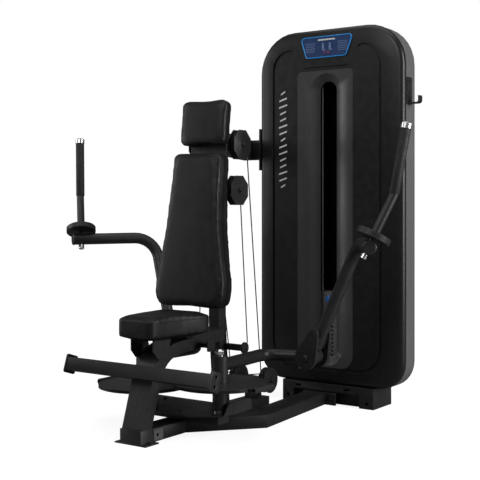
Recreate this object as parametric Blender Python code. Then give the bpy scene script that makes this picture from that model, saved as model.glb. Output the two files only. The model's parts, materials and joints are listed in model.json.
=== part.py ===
"""Seated pec fly machine with a weight-stack tower.

Metres, +Z up, floor at z = 0. The seat's centre plane is x = 0 and the two arm pivots stand on y = 0.
The sitter faces -Y, so the sitter's left is +X, where the tower stands behind the seat.
"""
import math

import bmesh
import bpy
from mathutils import Matrix, Vector

GAP = 0.0003            # running gap between touching pieces
ROUND = 20              # sides of a round tube
SMALL_ROUND = 12        # sides of a bolt, pin or hole

# Base and seat frame
TUBE_H = 0.050          # height of the flat base tubes
TUBE_W = 0.100          # width of the flat base tubes
SPINE_FRONT = -0.222
SPINE_REAR = 0.560
LEAN = math.radians(17.8)         # front leg, from vertical
ARCH_RISE = math.radians(5.0)     # seat rail, from horizontal
POST_Y = 0.240                    # rear post at seat height
POST_TOP = 1.180
DECK_Z = 0.0853                   # underside of the deck plate
DECK_T = 0.006

# Pads
BACK_LEAN = math.radians(6.15)
BACK_FOOT = Vector((0.0, 0.034, 0.469))   # bottom of the backrest's front face
BACK_T = 0.075
SEAT_Z = 0.385
SEAT_T = 0.070
HEAD_T = 0.050
PAD_REAR = BACK_T + GAP                   # mounting plane behind both pads

# Arms
PIVOT_X = 0.190
PIVOT_R = 0.030
SHAFT_R = 0.0125
ARM_Z = 0.268
ARM_R = 0.025
CAM_R = 0.180
CAM_T = 0.012
CAM_Z = {"left": 0.200, "right": 0.158}
ELBOW = Vector((0.357, 0.395, ARM_Z))
CORNER = Vector((0.528, 0.475, 0.726))
ARM_END = Vector((0.736, 0.163, 0.723))
HANDLE_BACK = 0.034               # handle axis, back from the arm's end
HANDLE_DIR = Vector((0.37, 0.35, 1.0)).normalized()
GRIP_DIR = Vector((0.136, 0.13, 1.0)).normalized()
KINK = 0.213                      # handle axis: arm centre to the bend
GRIP_LEN = 0.244
HANDLE_R = 0.0165
GRIP_R = 0.0190
GUARD_R = 0.065
GUARD_T = 0.024

# Pulleys
WHEEL_R = 0.050
WHEEL_W = 0.020
GUARD_PLATE_R = 0.064
PULLEYS = {"upper": (0.100, 0.256, 1.120), "middle": (0.100, 0.235, 0.935), "lower": (0.076, 0.500, 0.130)}
CABLE_R = 0.0025

# Tower
TOWER_X = (-0.140, 0.584)
TOWER_Z = (0.0903, 1.652)
TOWER_FRONT = 0.760
TOWER_SPLIT = 0.786
TOWER_BACK = 0.885
HOUSING_X = (-0.005, 0.435)     # narrower housing behind the shell, round the weight stack
HOUSING_BACK = 0.975
HOUSING_TOP = 1.620
WALL = 0.014
STACK_X = 0.210
STACK_Y = 0.860
PLATE_W = 0.240
PLATE_D = 0.090
PLATE_PITCH = 0.018
PLATE_T = PLATE_PITCH - GAP
STACK_Z = 0.200
PLATES = 16
STEM_R = 0.011
ROD_R = 0.0095
ROD_DX = 0.075


# ---------------------------------------------------------------- materials

def material(name, rgb, roughness, metallic=0.0):
    mat = bpy.data.materials.new(name)
    mat.use_nodes = True
    shader = mat.node_tree.nodes["Principled BSDF"]
    shader.inputs["Base Color"].default_value = (*rgb, 1.0)
    shader.inputs["Roughness"].default_value = roughness
    shader.inputs["Metallic"].default_value = metallic
    return mat


# ------------------------------------------------------------------- shapes

def block(low, high):
    """Box between two corners."""
    bm = bmesh.new()
    low = Vector(low)
    size = Vector(high) - low
    bmesh.ops.create_cube(bm, size=1.0)
    for v in bm.verts:
        v.co = low + Vector((v.co[i] + 0.5) * size[i] for i in range(3))
    return bm


def rings(loops):
    """Closed solid through matching loops of points, capped at both ends."""
    bm = bmesh.new()
    grid = [[bm.verts.new(p) for p in loop] for loop in loops]
    count = len(loops[0])
    for a, b in zip(grid, grid[1:]):
        for i in range(count):
            j = (i + 1) % count
            bm.faces.new((a[i], a[j], b[j], b[i]))
    bm.faces.new(list(reversed(grid[0])))
    bm.faces.new(grid[-1])
    bmesh.ops.recalc_face_normals(bm, faces=bm.faces)
    return bm


def turned(profile, start, direction, sides=ROUND):
    """Solid of revolution: profile holds (distance along the axis, radius)."""
    start = Vector(start)
    axis = Vector(direction).normalized()
    side = axis.orthogonal().normalized()
    other = axis.cross(side)
    loops = []
    for along, radius in profile:
        turn = [2 * math.pi * i / sides for i in range(sides)]
        loops.append([start + axis * along + (side * math.cos(a) + other * math.sin(a)) * radius
                      for a in turn])
    return rings(loops)


def rod(start, end, radius, sides=ROUND):
    start = Vector(start)
    span = Vector(end) - start
    return turned([(0.0, radius), (span.length, radius)], start, span, sides)


def circle(radius, sides=ROUND):
    return [(radius * math.cos(2 * math.pi * i / sides), radius * math.sin(2 * math.pi * i / sides))
            for i in range(sides)]


def rectangle(width, height):
    w = width / 2
    h = height / 2
    return [(-w, -h), (w, -h), (w, h), (-w, h)]


def sweep(section, path, up=(0, 0, 1)):
    """Solid bar of one section along a path, with mitred corners."""
    path = [Vector(p) for p in path]
    ahead = (path[1] - path[0]).normalized()
    side = ahead.cross(Vector(up)).normalized()
    top = side.cross(ahead)
    loop = [path[0] + side * a + top * b for a, b in section]
    loops = [loop]
    for i in range(1, len(path)):
        ahead = (path[i] - path[i - 1]).normalized()
        cut = ahead
        if i + 1 < len(path):
            cut = (ahead + (path[i + 1] - path[i]).normalized()).normalized()
        loop = [v + ahead * ((path[i] - v).dot(cut) / ahead.dot(cut)) for v in loop]
        loops.append(loop)
    return rings(loops)


def rounded(points, radii, closed=True, steps=6):
    """Points with their corners replaced by arcs of the given radii."""
    points = [Vector(p) for p in points]
    count = len(points)
    out = []
    for i, here in enumerate(points):
        radius = radii[i] if isinstance(radii, (list, tuple)) else radii
        end = not closed and i in (0, count - 1)
        if end or radius <= 0:
            out.append(here)
            continue
        back = (points[i - 1] - here).normalized()
        ahead = (points[(i + 1) % count] - here).normalized()
        half = back.angle(ahead) / 2
        middle = (back + ahead).normalized()
        centre = here + middle * (radius / math.sin(half))
        first = (here + back * (radius / math.tan(half)) - centre)
        last = (here + ahead * (radius / math.tan(half)) - centre)
        total = first.angle(last)
        for k in range(steps + 1):
            t = k / steps
            mix = first * math.sin((1 - t) * total) + last * math.sin(t * total)
            out.append(centre + mix / math.sin(total))
    return out


def prism(outline, origin, u_axis, v_axis, depth):
    """A flat outline given as (u, v) pairs, pulled out along u x v by depth."""
    u_axis = Vector(u_axis)
    v_axis = Vector(v_axis)
    along = u_axis.cross(v_axis).normalized()
    base = [Vector(origin) + u_axis * p[0] + v_axis * p[1] for p in outline]
    return rings([base, [p + along * depth for p in base]])


def hull(*solids):
    """Smallest convex solid round the given ones."""
    bm = bmesh.new()
    for solid in solids:
        for v in solid.verts:
            bm.verts.new(v.co)
    result = bmesh.ops.convex_hull(bm, input=bm.verts)
    spare = [e for e in result["geom_interior"] + result["geom_unused"] if isinstance(e, bmesh.types.BMVert)]
    bmesh.ops.delete(bm, geom=list(set(spare)), context="VERTS")
    flat = math.radians(1.0)
    bmesh.ops.dissolve_limit(bm, angle_limit=flat, verts=bm.verts, edges=bm.edges)
    return bm


def tower_loop(y, inset, x_span=TOWER_X, z_span=TOWER_Z, top=0.18, bottom=0.12, steps=8):
    """Rounded upright outline of the tower at depth y, inset from its full size."""
    x0 = x_span[0] + inset
    x1 = x_span[1] - inset
    z0 = z_span[0] + inset
    z1 = z_span[1] - inset
    corners = [(x0, y, z0), (x1, y, z0), (x1, y, z1), (x0, y, z1)]
    radii = [bottom - inset, bottom - inset, top - inset, top - inset]
    return rounded(corners, radii, steps=steps)


# ------------------------------------------------------------------ objects

def solid(name, bm, mat, pivot=(0, 0, 0)):
    """Named object with its origin on pivot."""
    mesh = bpy.data.meshes.new(name)
    bm.to_mesh(mesh)
    bm.free()
    mesh.transform(Matrix.Translation(-Vector(pivot)))
    mesh.materials.append(mat)
    mesh.shade_smooth()
    mesh.set_sharp_from_angle(angle=math.radians(30))
    obj = bpy.data.objects.new(name, mesh)
    obj.location = pivot
    bpy.context.collection.objects.link(obj)
    return obj


def tool(obj, bm, operation):
    """Adds a Boolean of bm to obj, with bm kept as a hidden helper."""
    helper = solid(f"helper_{obj.name}_{len(obj.modifiers)}", bm, obj.data.materials[0])
    helper.hide_render = True
    helper.display_type = "WIRE"
    step = obj.modifiers.new(operation.lower(), "BOOLEAN")
    step.object = helper
    step.operation = operation
    step.solver = "EXACT"
    return obj


def cut(obj, *solids):
    for bm in solids:
        tool(obj, bm, "DIFFERENCE")
    return obj


def join(obj, *solids):
    for bm in solids:
        tool(obj, bm, "UNION")
    return obj


def merged(solids):
    """Several separate solids in one mesh, for use as one cutter."""
    bm = bmesh.new()
    for solid_bm in solids:
        mesh = bpy.data.meshes.new("merge")
        solid_bm.to_mesh(mesh)
        solid_bm.free()
        bm.from_mesh(mesh)
        bpy.data.meshes.remove(mesh)
    return bm


def across(y, z, x0, x1, radius, sides=SMALL_ROUND):
    """Rod along X."""
    return rod((x0, y, z), (x1, y, z), radius, sides)


def fore_aft(x, z, y0, y1, radius, sides=SMALL_ROUND):
    """Rod along Y."""
    return rod((x, y0, z), (x, y1, z), radius, sides)


def upright(x, y, z0, z1, radius, sides=ROUND):
    """Rod along Z."""
    return rod((x, y, z0), (x, y, z1), radius, sides)


# --------------------------------------------------------------- base frame

def build_base(paint):
    foot = solid("foot_block", block((-0.050, -0.2975, 0.004), (0.050, SPINE_FRONT - GAP, 0.055)), paint)
    join(foot, block((-0.075, -0.300, 0.0), (0.075, -0.215 - 0.008, 0.005)))

    spine = block((-0.045, SPINE_FRONT, 0.0), (0.045, SPINE_REAR, TUBE_H))
    solid("spine_tube", spine, paint)

    start = 0.045 + GAP
    outline = [(start, -0.024), (0.256, 0.221), (0.2101, 0.7597),
               (0.1101, 0.7597), (0.152, 0.250), (start, 0.126)]
    side = solid("side_tube", prism(outline, (0, 0, 0.0), (1, 0, 0), (0, 1, 0), TUBE_H), paint)
    flange = block((0.100, 0.7497, 0.0), (0.262, 0.7597, 0.052))
    join(side, flange)
    cut(side, fore_aft(0.238, 0.027, 0.740, 0.770, 0.007))

    cross = block((-0.205, -0.035, TUBE_H + GAP), (0.205, 0.035, DECK_Z - GAP))
    solid("pivot_cross_tube", cross, paint)

    floor = [(-0.238, -0.045), (-0.130, -0.115), (0.130, -0.115),
             (0.238, -0.045), (0.238, 0.142), (-0.238, 0.142)]
    deck = solid("deck_plate", prism(floor, (0, 0, DECK_Z), (1, 0, 0), (0, 1, 0), DECK_T), paint)
    for sign in (-1, 1):
        corner = rounded([(-0.045, 0), (0.142, 0), (0.142, 0.046), (-0.010, 0.046)], [0, 0, 0.022, 0.02])
        x0 = 0.2325 if sign > 0 else -0.238
        join(deck, prism(corner, (x0, 0, DECK_Z), (0, 1, 0), (0, 0, 1), 0.0055))

    build_crossbar(paint)
    build_seat_frame(paint)


def build_crossbar(paint):
    """Front bar with two-hole end plates, tilted with the front leg."""
    tilt = Matrix.Translation((0, -0.2495, 0.258)) @ Matrix.Rotation(-LEAN, 4, "X")
    bar = block((-0.345, -0.025, -0.025), (0.345, 0.025, 0.025))
    bar.transform(tilt)
    obj = solid("front_crossbar", bar, paint)
    for sign in (-1, 1):
        ends = sorted((sign * 0.344, sign * 0.352))
        corners = [(-0.030, -0.036), (0.030, -0.036), (0.030, 0.036), (-0.030, 0.036)]
        outline = rounded(corners, 0.008, steps=3)
        plate = prism(outline, (ends[0], 0, 0), (0, 1, 0), (0, 0, 1), ends[1] - ends[0])
        plate.transform(tilt)
        join(obj, plate)
        holes = merged([across(0, dz, ends[0] - 0.004, ends[1] + 0.004, 0.006) for dz in (-0.017, 0.017)])
        holes.transform(tilt)
        cut(obj, holes)


def build_seat_frame(paint):
    foot = Vector((0, -0.2612, 0.0514))
    leg = Vector((0, math.sin(LEAN), math.cos(LEAN)))
    rail = Vector((0, math.cos(ARCH_RISE), math.sin(ARCH_RISE)))
    top = foot + leg * 0.2839
    start = foot - leg * 0.030
    end = top + rail * ((0.2150 - top.y) / rail.y)
    path = rounded([start, top, end], 0.14, closed=False, steps=8)
    arch = solid("seat_arch", sweep(rectangle(TUBE_W, TUBE_H), path, up=(0, 1, 0)), paint)
    join(arch, block((-0.040, -0.010, 0.350), (0.040, 0.022, 0.3845)))
    cut(arch, block((-0.100, -0.400, -0.050), (0.100, -0.150, 0.0550 + GAP)))

    post = [(0, 0.268, 0.0535), (0, POST_Y, 0.40), (0, POST_Y + 0.004, POST_TOP)]
    rear_post = solid("rear_post", sweep(rectangle(0.050, 0.050), post, up=(0, 1, 0)), paint)
    join(rear_post, block((-0.120, 0.252, 0.286), (0.120, 0.274, 0.310)))
    for sign in (-1, 1):
        ends = sorted((sign * 0.116, sign * 0.124))
        join(rear_post, across(0.263, 0.298, ends[0], ends[1], 0.024, 16))

    bracket = solid("seat_bracket", block((-0.060, -0.235, 0.3790), (0.060, -0.110, 0.3845)), paint)
    for sign in (-1, 1):
        x0 = 0.0505 if sign > 0 else -0.0555
        side = [(-0.205, 0.305), (-0.150, 0.305), (-0.128, 0.380), (-0.232, 0.380), (-0.232, 0.335)]
        join(bracket, prism(side, (x0, 0, 0), (0, 1, 0), (0, 0, 1), 0.005))


# --------------------------------------------------------------------- pads

def back_frame(u, w, n):
    """Point on the tilted backrest: u across, w up its face, n behind the front face."""
    up = Vector((0, math.sin(BACK_LEAN), math.cos(BACK_LEAN)))
    rear = Vector((0, math.cos(BACK_LEAN), -math.sin(BACK_LEAN)))
    return BACK_FOOT + Vector((u, 0, 0)) + up * w + rear * n


def pad_on_back(outline, front, rear):
    return rings([[back_frame(p[0], p[1], n) for p in outline] for n in (front, rear)])


def build_pads(vinyl, black):
    seat = rounded([(-0.088, -0.290), (0.088, -0.290), (0.135, 0.050), (-0.135, 0.050)],
                   [0.030, 0.030, 0.035, 0.035])
    solid("seat_pad", prism(seat, (0, 0, SEAT_Z), (1, 0, 0), (0, 1, 0), SEAT_T), vinyl)

    right = [(0.172, 0.0), (0.178, 0.105), (0.141, 0.320), (0.119, 0.626)]
    left = [(-u, w) for u, w in reversed(right)]
    radii = [0.050, 0.12, 0.30, 0.022]
    back = rounded(right + left, radii + radii[::-1])
    solid("backrest_pad", pad_on_back(back, 0.0, BACK_T), vinyl)

    head = rounded([(-0.119, 0.647), (0.119, 0.647), (0.119, 0.843), (-0.119, 0.843)], 0.030)
    solid("headrest_pad", pad_on_back(head, BACK_T - HEAD_T, BACK_T), vinyl)

    plate = [(-0.100, 0.050), (0.100, 0.050), (0.085, 0.815), (-0.085, 0.815)]
    mount = solid("pad_mount_plate", pad_on_back(plate, PAD_REAR, PAD_REAR + 0.008), black)
    post_face = POST_Y - 0.0255
    for z in (0.560, 1.060):
        near = back_frame(0, (z - BACK_FOOT.z) / math.cos(BACK_LEAN), PAD_REAR + 0.004).y
        join(mount, block((-0.024, near, z - 0.03), (0.024, post_face, z + 0.03)))


# --------------------------------------------------------------------- arms

def mirrored(point, sign):
    return Vector((point[0] * sign, point[1], point[2]))


def handle_frame(sign):
    """(centre on the arm, lower axis, upper axis) of a handle."""
    along = (ARM_END - CORNER).normalized()
    centre = ARM_END - along * HANDLE_BACK
    return mirrored(centre, sign), mirrored(HANDLE_DIR, sign), mirrored(GRIP_DIR, sign)


def build_lower_arm(name, sign, paint, chrome):
    pivot = Vector((sign * PIVOT_X, 0, 0))
    x = pivot.x
    tube = solid(f"{name}_arm_tube", upright(x, 0, 0.1003, 0.305, PIVOT_R), paint, pivot)
    bend = mirrored((0.165, 0.340, ARM_Z), sign)
    path = rounded([(x, 0, ARM_Z), bend, mirrored(ELBOW, sign)], 0.07, closed=False, steps=6)
    join(tube, sweep(circle(ARM_R), path))
    elbow = mirrored(ELBOW, sign)
    join(tube, fore_aft(elbow.x, elbow.z, elbow.y - 0.041, elbow.y + 0.041, 0.030, ROUND))
    cut(tube, upright(x, 0, 0.09, 0.32, SHAFT_R + 0.0003))
    cut(tube, fore_aft(elbow.x, elbow.z, elbow.y - 0.05, elbow.y + 0.05, 0.0086))

    deck_top = DECK_Z + DECK_T
    shaft = turned([(0, 0.026), (0.0085, 0.026), (0.0085, SHAFT_R), (0.2200, SHAFT_R), (0.2200, 0.0185),
                    (0.2330, 0.0185), (0.2390, 0.013)], (x, 0, deck_top + GAP), (0, 0, 1))
    solid(f"{name}_pivot_shaft", shaft, chrome, pivot)


def build_cam(name, sign, paint):
    """Flat cam fixed to the pivot tube, with the tangent sleeve that holds the cable's end."""
    x = sign * PIVOT_X
    z = CAM_Z[name]
    rim = [(0, CAM_R), (0.003, CAM_R), (0.0045, CAM_R - 0.003), (CAM_T - 0.0045, CAM_R - 0.003),
           (CAM_T - 0.003, CAM_R), (CAM_T, CAM_R)]
    pivot = (x, 0, 0)
    cam = solid(f"{name}_cam", turned(rim, (x, 0, z - CAM_T / 2), (0, 0, 1), 40), paint, pivot)
    cut(cam, upright(x, 0, z - 0.02, z + 0.02, PIVOT_R + GAP))
    out = x + sign * (CAM_R + 0.008)
    join(cam, rod((out, -0.055, z), (out, 0.070, z), 0.012, 20))
    cut(cam, rod((out, -0.060, z), (out, 0.040, z), 0.006, SMALL_ROUND))


def build_upper_arm(name, sign, paint, black):
    elbow = mirrored(ELBOW, sign)
    corner = mirrored(CORNER, sign)
    end = mirrored(ARM_END, sign)
    ahead = (corner - elbow).normalized()
    path = rounded([elbow + ahead * 0.040, corner, end], 0.10, closed=False, steps=8)
    arm = solid(f"{name}_upper_arm", sweep(circle(ARM_R), path), paint, elbow)

    flat = Vector((ahead.x, 0, ahead.z)).normalized()
    for y0, y1 in ((-0.053, -0.0415), (0.0415, 0.049)):
        low = elbow + Vector((0, y0, 0))
        high = elbow + Vector((0, y1, 0))
        tip = flat * 0.100
        cheek = hull(rod(low, high, 0.0475, 26), rod(low + tip, high + tip, 0.022, 14))
        join(arm, cheek)
    side = Vector((flat.z, 0, -flat.x)) * 0.020
    yoke = []
    for along, y0, y1 in ((0.042, -0.046, 0.044), (0.090, -0.046, 0.044)):
        base = elbow + flat * along
        yoke.append([base - side + Vector((0, y0, 0)), base + side + Vector((0, y0, 0)),
                     base + side + Vector((0, y1, 0)), base - side + Vector((0, y1, 0))])
    join(arm, rings(yoke))
    bore = fore_aft(elbow.x, elbow.z, elbow.y - 0.06, elbow.y + 0.06, 0.0086)
    centre, lower, _ = handle_frame(sign)
    cut(arm, bore, rod(centre - lower * 0.05, centre + lower * 0.05, 0.0105, SMALL_ROUND))

    bolt = turned([(0, 0.009), (0.003, 0.0135), (0.0095, 0.0135), (0.0095, 0.008), (0.1165, 0.008),
                   (0.1165, 0.0135), (0.1235, 0.0135), (0.1265, 0.009)],
                  (elbow.x, elbow.y - 0.0630, elbow.z), (0, 1, 0), SMALL_ROUND)
    solid(f"{name}_elbow_bolt", bolt, black, elbow)

    along = (end - corner).normalized()
    join(arm, turned([(-0.002, ARM_R + 0.001), (0.004, ARM_R + 0.001), (0.006, ARM_R - 0.002)], end, along))


def build_handle(name, sign, paint, rubber, plastic, aluminium, chrome):
    centre, lower, upper = handle_frame(sign)
    kink = centre + lower * KINK
    top = kink + upper * (GRIP_LEN + 0.004)
    spindle = rod(centre - lower * 0.0200, centre + lower * 0.040, 0.0100, SMALL_ROUND)
    handle = solid(f"{name}_handle_tube", sweep(circle(HANDLE_R, 20), [centre + lower * 0.033, kink, top]),
                   paint, centre)
    join(handle, spindle)
    guard = turned([(0, GUARD_R - 0.002), (0.002, GUARD_R), (GUARD_T - 0.002, GUARD_R),
                    (GUARD_T, GUARD_R - 0.002)], centre + lower * 0.0335, lower, 32)
    guard = solid(f"{name}_hand_guard", guard, plastic, centre)
    cut(guard, rod(centre, centre + lower * 0.1, HANDLE_R + GAP, 20))

    grip_start = kink + upper * 0.004
    grip = turned([(0, GRIP_R - 0.001), (0.002, GRIP_R),
                   (GRIP_LEN - 0.002, GRIP_R), (GRIP_LEN, GRIP_R - 0.001)],
                  grip_start, upper, 20)
    grip = solid(f"{name}_grip", grip, rubber, centre)
    cut(grip, rod(kink, top + upper * 0.05, HANDLE_R + GAP, 20))
    cap = turned([(0, GRIP_R + 0.0015), (0.019, GRIP_R + 0.0015), (0.0225, GRIP_R - 0.003)],
                 grip_start + upper * (GRIP_LEN + GAP), upper, 20)
    cap = solid(f"{name}_grip_cap", cap, aluminium, centre)
    cut(cap, rod(kink, top + upper * 0.002, HANDLE_R + GAP, 20))

    knob_top = centre - lower * 0.0203
    pin = turned([(0, 0.0045), (0.0075, 0.0045), (0.0075, 0.0105), (0.0095, 0.0120), (0.0250, 0.0125),
                  (0.0265, 0.0115)], knob_top, -lower, SMALL_ROUND)
    solid(f"{name}_pull_pin", pin, chrome, centre)


def build_arms(mats):
    for name, sign in (("left", 1), ("right", -1)):
        build_lower_arm(name, sign, mats["paint"], mats["chrome"])
        build_cam(name, sign, mats["paint"])
        build_upper_arm(name, sign, mats["paint"], mats["black"])
        build_handle(name, sign, mats["paint"], mats["rubber"], mats["black"], mats["aluminium"],
                     mats["chrome"])


# ------------------------------------------------------------------ pulleys

def wheel(name, centre, mat, radius=WHEEL_R):
    half = WHEEL_W / 2
    profile = [(0, radius), (0.003, radius), (0.007, radius - 0.006), (WHEEL_W - 0.007, radius - 0.006),
               (WHEEL_W - 0.003, radius), (WHEEL_W, radius)]
    start = Vector(centre) - Vector((half, 0, 0))
    obj = solid(name, turned(profile, start, (1, 0, 0), 20), mat, centre)
    return cut(obj, across(centre[1], centre[2], centre[0] - 0.02, centre[0] + 0.02, 0.0063))


def guard_plates(bracket, x_mid, y, z, radius, sides):
    """Pair of guard plates on each side's pulley."""
    turn = math.pi / sides
    angles = [turn + 2 * math.pi * i / sides for i in range(sides)]
    outline = [(radius * math.cos(a), radius * math.sin(a)) for a in angles]
    for sign in (-1, 1):
        for offset in (-0.014, 0.014):
            x = sign * x_mid + offset
            join(bracket, prism(outline, (x - 0.0015, y, z), (0, 1, 0), (0, 0, 1), 0.003))


def post_clamp(bracket, x_mid, y, z):
    """Saddle round the back of the rear post that carries the axles of two pulleys."""
    for sign in (-1, 1):
        sides = sorted((sign * 0.0255, sign * 0.0335))
        join(bracket, block((sides[0], y - 0.020, z - 0.025), (sides[1], POST_Y + 0.042, z + 0.025)))
        ends = sorted((sign * 0.0300, sign * (x_mid + 0.020)))
        join(bracket, across(y, z, ends[0], ends[1], 0.006))
    guard_plates(bracket, x_mid, y, z, GUARD_PLATE_R, 8)


def saddle_back(z):
    return block((-0.0335, POST_Y + 0.0305, z - 0.025), (0.0335, POST_Y + 0.042, z + 0.025))


def build_pulleys(mats):
    paint = mats["paint"]
    x, y, z = PULLEYS["upper"]
    path = [(-0.012, 0.281, 1.130), (-0.235, 0.800, 1.130), (-0.1466, 0.800, 1.130)]
    beam = solid("upper_beam", sweep(rectangle(0.050, 0.090), path), paint)
    join(beam, block((-0.1480, 0.765, 1.035), (TOWER_X[0] - GAP, 0.845, 1.225)), saddle_back(z))
    post_clamp(beam, x, y, z)

    x, y, z = PULLEYS["middle"]
    middle = solid("middle_pulley_bracket", saddle_back(z), paint)
    post_clamp(middle, x, y, z)

    x, y, z = PULLEYS["lower"]
    lower = solid("lower_pulley_bracket",
                  block((-0.030, y - 0.020, TUBE_H + GAP), (0.030, y + 0.020, z + 0.010)),
                  paint)
    join(lower, across(y, z, -x - 0.020, x + 0.020, 0.006))
    guard_plates(lower, x, y, z, WHEEL_R + 0.004, 18)

    for level, (x, y, z) in PULLEYS.items():
        for name, sign in (("left", 1), ("right", -1)):
            wheel(f"{name}_{level}_pulley", (sign * x, y, z), mats["plastic"])


def build_cables(mats):
    """Crossed cable run from the back of the upper pulley to the front of the lower one, each side."""
    reach = WHEEL_R - 0.0015
    for name, sign in (("left", 1), ("right", -1)):
        top = mirrored(PULLEYS["upper"], sign)
        low = mirrored(PULLEYS["lower"], sign)
        span = Vector((0, low.y - top.y, low.z - top.z))
        turn = Matrix.Rotation(-math.asin(2 * reach / span.length), 3, "X")
        offset = (turn @ span).normalized().cross(Vector((-1, 0, 0))) * reach
        solid(f"{name}_cable", rod(top + offset, low - offset, CABLE_R, 8), mats["black"])


# -------------------------------------------------------------------- tower

def inner_panel_outline():
    """Outline of the recessed field: it dips in the middle to clear the placard."""
    x0 = -0.068
    x1 = 0.483
    points = [(x0, 0.150), (x1, 0.150), (x1, 1.570), (0.372, 1.570), (0.325, 1.486), (0.092, 1.486),
              (0.045, 1.570), (x0, 1.570)]
    return points, [0.10, 0.10, 0.085, 0.02, 0.03, 0.03, 0.02, 0.085]


def panel_prism(inset, y0, y1):
    """The recessed field's outline as a prism, moved inwards by inset."""
    points, radii = inner_panel_outline()
    middle = Vector((0.208, 0.86))
    shrunk = []
    for p in points:
        dx = inset if p[0] < middle.x else -inset
        dz = inset if p[1] < middle.y else -inset
        shrunk.append((p[0] + dx, y0, p[1] + dz))
    loop = rounded(shrunk, radii, steps=5)
    return rings([loop, [p + Vector((0, y1 - y0, 0)) for p in loop]])


def build_shroud(mats):
    bend = 0.022
    sections = []
    for k in range(5):
        a = math.pi / 2 * k / 4
        sections.append(tower_loop(TOWER_FRONT + bend * (1 - math.sin(a)), bend * (1 - math.cos(a))))
    loops = [tower_loop(TOWER_SPLIT - GAP, 0.0)] + sections
    shroud = solid("front_shroud", rings(loops), mats["shell"])
    hollow = rings([tower_loop(TOWER_FRONT + 0.016, WALL), tower_loop(TOWER_SPLIT + 0.01, WALL)])
    opening = rings([strip_loop(TOWER_FRONT - 0.01, -GAP), strip_loop(TOWER_FRONT + 0.03, -GAP)])
    cut(shroud, hollow, opening)
    groove = solid("helper_groove", panel_prism(0.0, TOWER_FRONT - 0.005, TOWER_FRONT + 0.006), mats["shell"])
    groove.hide_render = True
    groove.display_type = "WIRE"
    cut(groove, panel_prism(0.012, TOWER_FRONT - 0.010, TOWER_FRONT + 0.010))
    step = shroud.modifiers.new("groove", "BOOLEAN")
    step.object = groove
    step.operation = "DIFFERENCE"
    step.solver = "EXACT"

    rear = rings([tower_loop(TOWER_SPLIT, 0.0015), tower_loop(TOWER_BACK - 0.014, 0.0015),
                  tower_loop(TOWER_BACK - 0.004, 0.006), tower_loop(TOWER_BACK, 0.014)])
    shell = solid("rear_shell", rear, mats["side"])
    x0, x1 = HOUSING_X
    join(shell, block((x0, TOWER_BACK - 0.010, TOWER_Z[0]), (x1, HOUSING_BACK, HOUSING_TOP)))
    cut(shell, rings([tower_loop(TOWER_SPLIT - 0.01, WALL), tower_loop(TOWER_BACK - WALL, WALL)]))
    cut(shell, block((x0 + WALL, TOWER_BACK - 0.030, TOWER_Z[0] + WALL),
                     (x1 - WALL, HOUSING_BACK - WALL, HOUSING_TOP - WALL)))


def strip_loop(y, inset):
    x0 = 0.062 + inset
    x1 = 0.343 - inset
    z0 = 0.161 + inset
    z1 = 1.470 - inset
    corners = [(x0, y, z0), (x1, y, z0), (x1, y, z1), (x0, y, z1)]
    return rounded(corners, [0.06, 0.06, 0.02, 0.02], steps=5)


def stadium(y, half_width, z0, z1, steps=10):
    """Upright slot with round ends at depth y."""
    points = []
    for k in range(steps + 1):
        a = math.pi * k / steps
        points.append(Vector((STACK_X + half_width * math.cos(a), y,
                              z1 - half_width + half_width * math.sin(a))))
    for k in range(steps + 1):
        a = math.pi + math.pi * k / steps
        points.append(Vector((STACK_X + half_width * math.cos(a), y,
                              z0 + half_width + half_width * math.sin(a))))
    return points


def build_centre_panel(mats):
    y0 = TOWER_FRONT + 0.001
    y1 = TOWER_FRONT + 0.026
    panel = solid("centre_panel", rings([strip_loop(y0, GAP), strip_loop(y1, GAP)]), mats["strip"])
    cut(panel, rings([stadium(y0 - 0.004, 0.0885, 0.161, 1.4615), stadium(y1 + 0.006, 0.030, 0.214, 1.412)]))


def build_tower_frame(mats):
    frame = solid("tower_frame", block((0.012, 0.905, 0.1060), (0.418, 0.935, 1.600)), mats["paint"])
    cut(frame, block((0.042, 0.900, 0.1560), (0.388, 0.940, 1.560)))
    join(frame, block((0.090, 0.815, 0.1060), (0.330, 0.906, 0.1500)))
    join(frame, block((0.090, 0.815, 1.5700), (0.330, 0.906, 1.6000)))
    base = solid("tower_base", block((-0.014, TOWER_FRONT, 0.0), (0.443, 0.930, 0.0900)), mats["paint"])
    cut(base, block((0.045, TOWER_FRONT - 0.01, -0.01), (0.374, TOWER_FRONT + 0.030, 0.056)))
    slots = [block((x, TOWER_FRONT - 0.01, 0.067), (x + 0.026, TOWER_FRONT + 0.02, 0.077))
             for x in (0.055, 0.300)]
    holes = [fore_aft(x, 0.022, TOWER_FRONT - 0.01, TOWER_FRONT + 0.02, 0.008) for x in (0.016, 0.410)]
    cut(base, merged(slots + holes))
    for name, sign in (("left", 1), ("right", -1)):
        x = STACK_X + sign * ROD_DX
        solid(f"{name}_guide_rod", upright(x, STACK_Y, 0.1503, 1.5697, ROD_R, 12), mats["chrome"])
    join(frame, block((STACK_X - 0.055, STACK_Y - 0.030, 0.145),
                      (STACK_X + 0.055, STACK_Y + 0.030, STACK_Z - GAP)))
    cut(frame, upright(STACK_X, STACK_Y, 0.160, 0.21, STEM_R + 0.002, 16))


def plate_block(z0, z1):
    return block((STACK_X - PLATE_W / 2, STACK_Y - PLATE_D / 2, z0),
                 (STACK_X + PLATE_W / 2, STACK_Y + PLATE_D / 2, z1))


def plate_bores(z0, z1, stem_radius):
    tools = [upright(STACK_X + s * ROD_DX, STACK_Y, z0 - 0.01, z1 + 0.01, ROD_R + 0.0015, 12)
             for s in (-1, 1)]
    tools.append(upright(STACK_X, STACK_Y, z0 - 0.01, z1 + 0.01, stem_radius, 12))
    return merged(tools)


def plate_z(index):
    """Underside of a plate, counted from the top of the stack."""
    return STACK_Z + (PLATES - 1 - index) * PLATE_PITCH


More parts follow.
